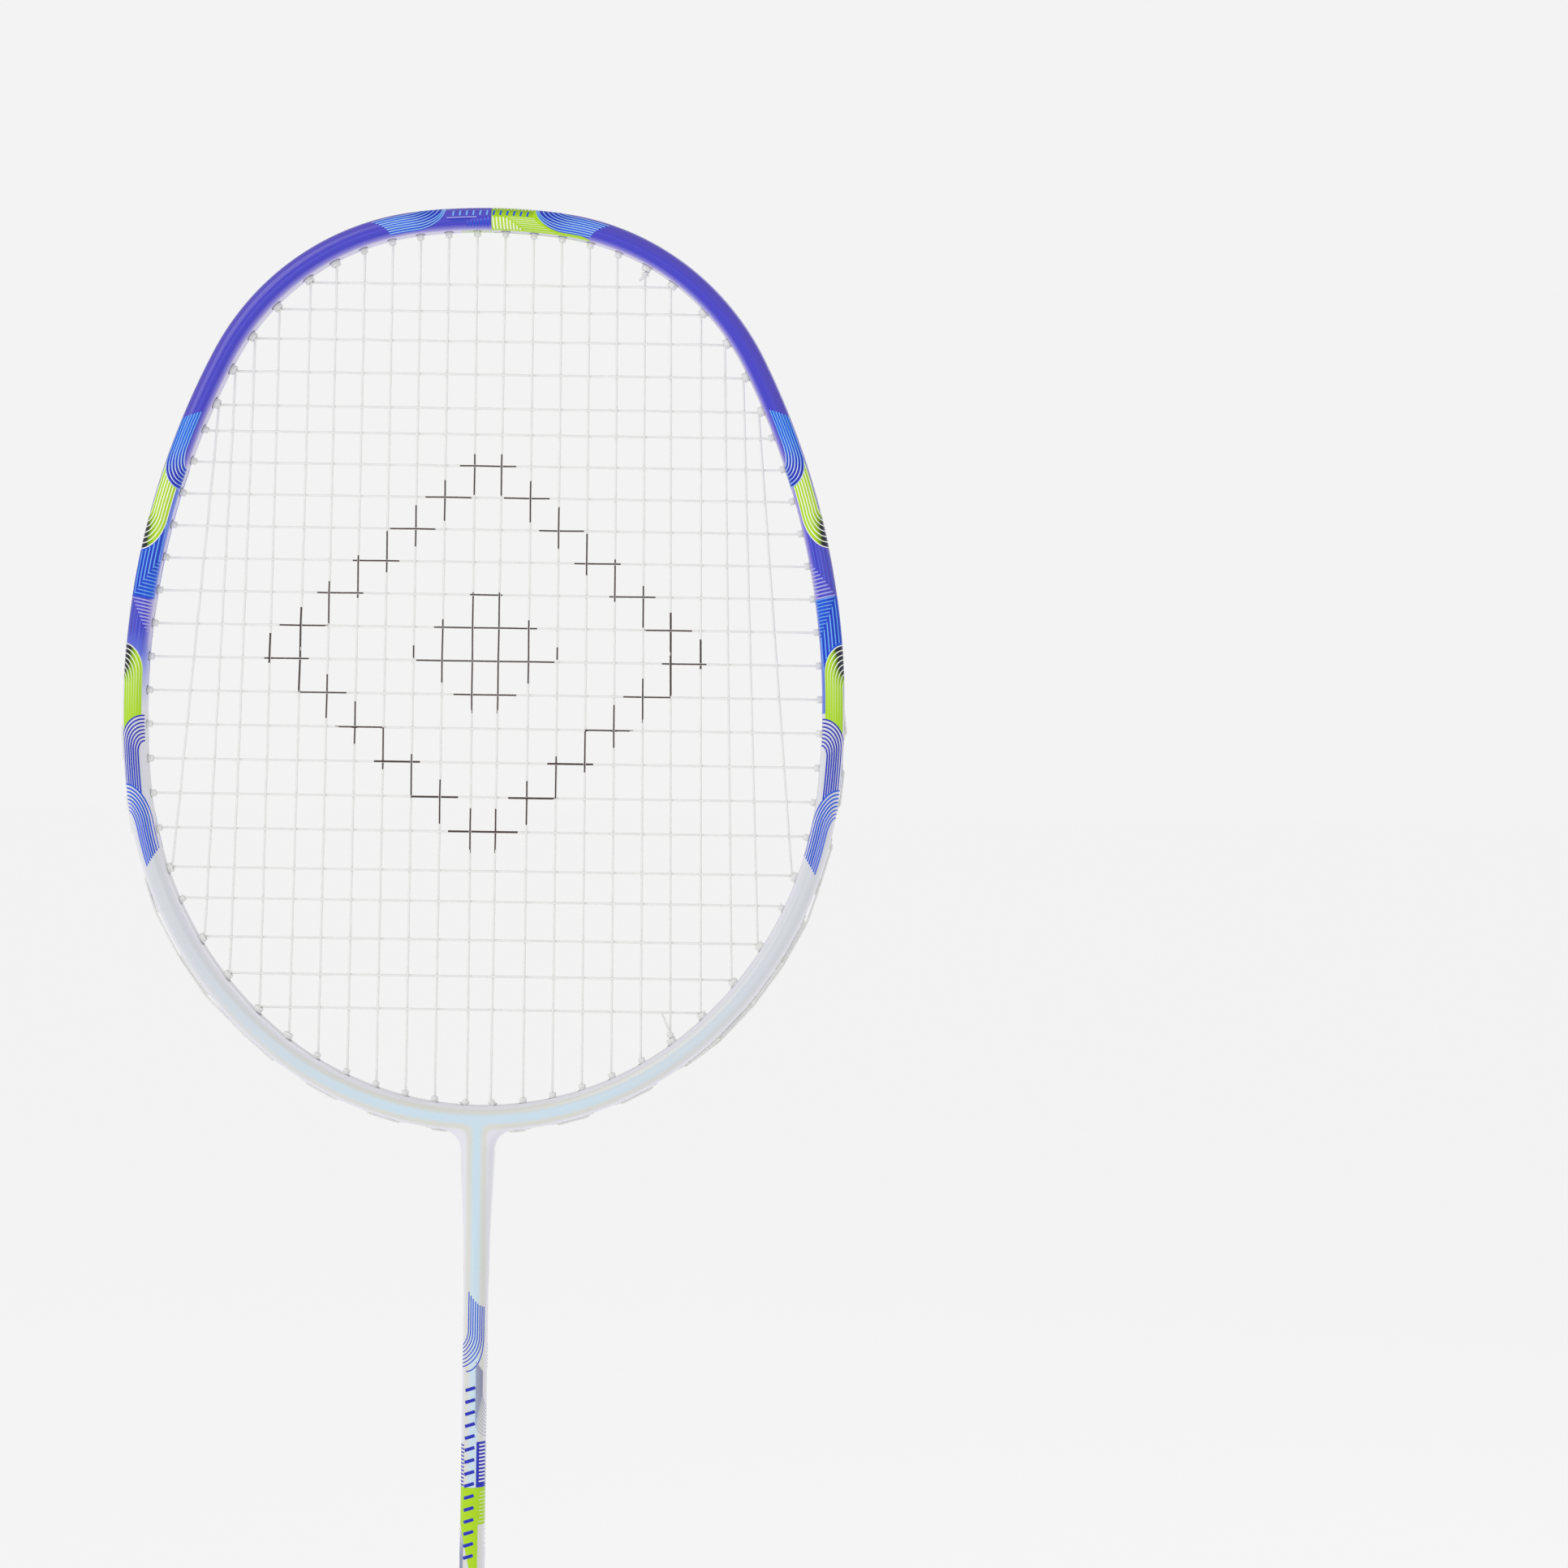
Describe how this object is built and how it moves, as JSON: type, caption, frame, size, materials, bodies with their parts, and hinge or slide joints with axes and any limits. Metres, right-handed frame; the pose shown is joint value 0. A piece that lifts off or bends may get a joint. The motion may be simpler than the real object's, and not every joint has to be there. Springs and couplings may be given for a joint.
{
  "type": "badminton racket",
  "caption": "Strung badminton racket: hollow rim with grommets and woven strings, moulded throat yoke, slim tubular shaft, cone, wooden handle core, wound grip and butt cap.",
  "frame": {"origin": "centre of the flat butt end, on the axis of the shaft", "axes": "+Z along the shaft from the butt to the crown of the head, X across the head, Y square to the string bed"},
  "size_m": [0.2065, 0.0316, 0.675],
  "materials": {
    "rim_paint": "gloss lacquer over pearl paint, violet at the crown fading to pearl white at the throat",
    "pearl_paint": "gloss lacquer over pearl white paint",
    "alloy": "as cast, bonded inside",
    "cone_plastic": "gloss moulded plastic",
    "wood": "bare, close grained",
    "cap_plastic": "moulded, fine texture",
    "badge_plastic": "gloss, plain",
    "staple_steel": "drawn wire",
    "grip_rubber": "soft, tacky, perforated",
    "band_tape": "thin adhesive tape, satin",
    "string_nylon": "twisted nylon, semi-gloss",
    "grommet_nylon": "translucent white nylon"
  },
  "bodies": {
    "root": {"butt_badge": "badge_plastic", "butt_cap": "cap_plastic", "butt_staples": "staple_steel", "cone": "cone_plastic", "cross_string": "string_nylon", "finishing_band": "band_tape", "grip_tape": "grip_rubber", "grommets_left": "grommet_nylon", "grommets_lower_left": "grommet_nylon", "grommets_lower_right": "grommet_nylon", "grommets_right": "grommet_nylon", "grommets_throat_left": "grommet_nylon", "grommets_throat_right": "grommet_nylon", "grommets_top": "grommet_nylon", "grommets_upper_left": "grommet_nylon", "grommets_upper_right": "grommet_nylon", "handle_core": "wood", "head_frame": "rim_paint", "knot_bottom": "string_nylon", "knot_top": "string_nylon", "main_string": "string_nylon", "shaft": "pearl_paint", "t_joint": "alloy", "throat_yoke": "pearl_paint"}
  },
  "joints": []
}
